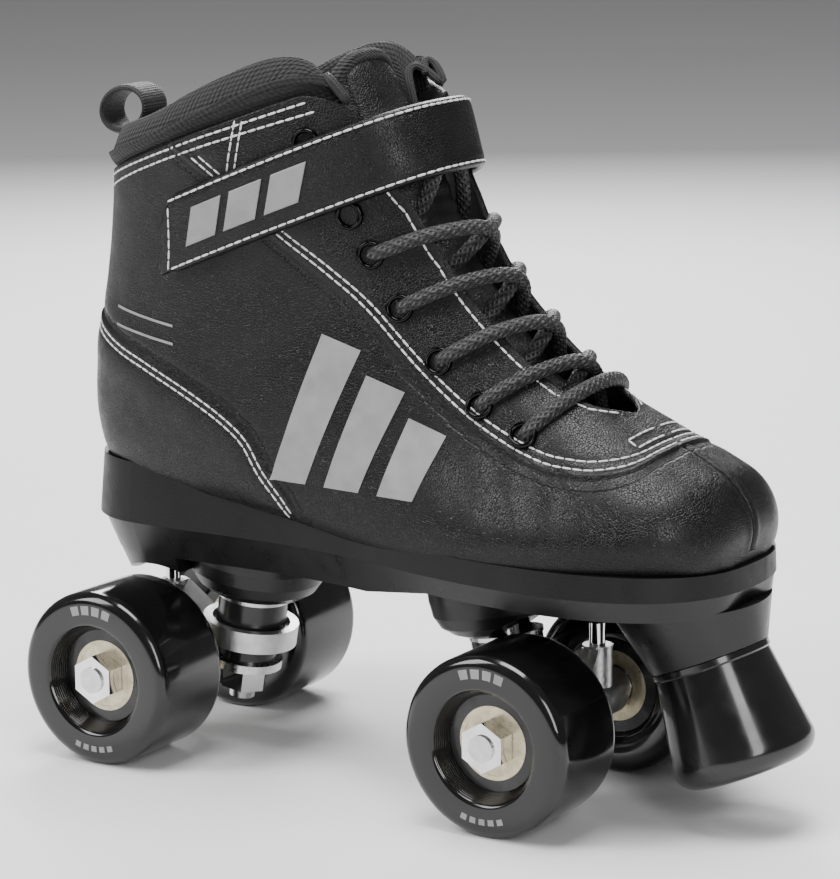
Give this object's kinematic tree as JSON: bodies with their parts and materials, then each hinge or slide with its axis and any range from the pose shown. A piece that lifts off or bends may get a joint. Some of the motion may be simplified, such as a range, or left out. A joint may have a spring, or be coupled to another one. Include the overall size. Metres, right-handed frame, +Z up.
{
  "type": "quad roller skate",
  "caption": "Laced high-top boot on a moulded plate with two rubber-cushioned steering trucks, rolling wheels on ball bearings and a toe stop.",
  "frame": {"origin": "on the ground under the middle of the skate's length, midway across", "axes": "+X towards the toe, +Y towards the inner side of the right foot (left), +Z up"},
  "size_m": [0.2447, 0.1072, 0.2195],
  "materials": {
    "leather": "semi-gloss fine grain",
    "knit": "matt chunky knit",
    "webbing": "matt weave",
    "felt": "matt hook and loop",
    "lace_braid": "round braid",
    "eyelet": "gloss",
    "sole": "fine grained",
    "plate_plastic": "satin",
    "insole_foam": "matt",
    "steel": "plated",
    "chrome": "polished",
    "cast": "satin cast",
    "cushion": "gloss",
    "wheel_urethane": "glossy",
    "wheel_core": "gloss",
    "shield": "satin",
    "stop_rubber": "gloss",
    "cup_plastic": "matt"
  },
  "bodies": {
    "boot_and_plate": {"upper_facing": "leather", "upper_vamp": "leather", "heel_counter": "leather", "eyelets": "eyelet", "collar_padding": "knit", "tongue": "leather", "insole": "insole_foam", "strap_base": "webbing", "hook_pad": "felt", "pull_loop": "webbing", "lace": "lace_braid", "outsole": "sole", "plate": "plate_plastic", "sole_screws": "steel", "toe_stop": "stop_rubber", "toe_stop_bolt": "steel", "toe_stop_washer": "steel", "front_kingpin": "steel", "front_upper_washer": "steel", "front_upper_cushion": "cushion", "front_lower_cushion": "cushion", "front_lower_washer": "steel", "front_kingpin_nut": "chrome", "front_pivot_cup": "cup_plastic", "rear_kingpin": "steel", "rear_upper_washer": "steel", "rear_upper_cushion": "cushion", "rear_lower_cushion": "cushion", "rear_lower_washer": "steel", "rear_kingpin_nut": "chrome", "rear_pivot_cup": "cup_plastic"},
    "strap_flap": {"strap_flap": "webbing", "loop_pad": "felt"},
    "front_truck": {"front_hanger": "cast", "front_axle": "steel", "front_pivot_stud": "chrome", "front_axle_nuts": "chrome", "front_bearing_inner_rings": "chrome"},
    "front_left_wheel": {"front_left_tyre": "wheel_urethane", "front_left_core": "wheel_core", "front_left_bearing_outer_rings": "shield", "front_left_bearing_balls": "chrome"},
    "front_right_wheel": {"front_right_tyre": "wheel_urethane", "front_right_core": "wheel_core", "front_right_bearing_outer_rings": "shield", "front_right_bearing_balls": "chrome"},
    "rear_truck": {"rear_hanger": "cast", "rear_axle": "steel", "rear_pivot_stud": "chrome", "rear_axle_nuts": "chrome", "rear_bearing_inner_rings": "chrome"},
    "rear_left_wheel": {"rear_left_tyre": "wheel_urethane", "rear_left_core": "wheel_core", "rear_left_bearing_outer_rings": "shield", "rear_left_bearing_balls": "chrome"},
    "rear_right_wheel": {"rear_right_tyre": "wheel_urethane", "rear_right_core": "wheel_core", "rear_right_bearing_outer_rings": "shield", "rear_right_bearing_balls": "chrome"}
  },
  "joints": [
    {"name": "strap_hinge", "type": "hinge", "parent": "boot_and_plate", "child": "strap_flap", "pos_m": [-0.0098, -0.0283, 0.1888], "axis": [-0.3006, -0.1389, 0.9436], "range_deg": [0, 110]},
    {"name": "front_steering", "type": "hinge", "parent": "boot_and_plate", "child": "front_truck", "pos_m": [0.023, 0, 0.03447], "axis": [0.7071, 0, 0.7071], "range_deg": [-7, 7], "stiffness_Nm_per_rad": 12, "deforming": ["front_upper_cushion", "front_lower_cushion"]},
    {"name": "front_left_wheel_spin", "type": "hinge", "parent": "front_truck", "child": "front_left_wheel", "pos_m": [0.0448, 0.0369, 0.027], "axis": [0, 1, 0], "continuous": true},
    {"name": "front_right_wheel_spin", "type": "hinge", "parent": "front_truck", "child": "front_right_wheel", "pos_m": [0.0448, -0.0369, 0.027], "axis": [0, 1, 0], "continuous": true},
    {"name": "rear_steering", "type": "hinge", "parent": "boot_and_plate", "child": "rear_truck", "pos_m": [-0.073, 0, 0.03447], "axis": [-0.7071, 0, 0.7071], "range_deg": [-7, 7], "stiffness_Nm_per_rad": 12, "deforming": ["rear_upper_cushion", "rear_lower_cushion"]},
    {"name": "rear_left_wheel_spin", "type": "hinge", "parent": "rear_truck", "child": "rear_left_wheel", "pos_m": [-0.0948, 0.0369, 0.027], "axis": [0, 1, 0], "continuous": true},
    {"name": "rear_right_wheel_spin", "type": "hinge", "parent": "rear_truck", "child": "rear_right_wheel", "pos_m": [-0.0948, -0.0369, 0.027], "axis": [0, 1, 0], "continuous": true}
  ]
}
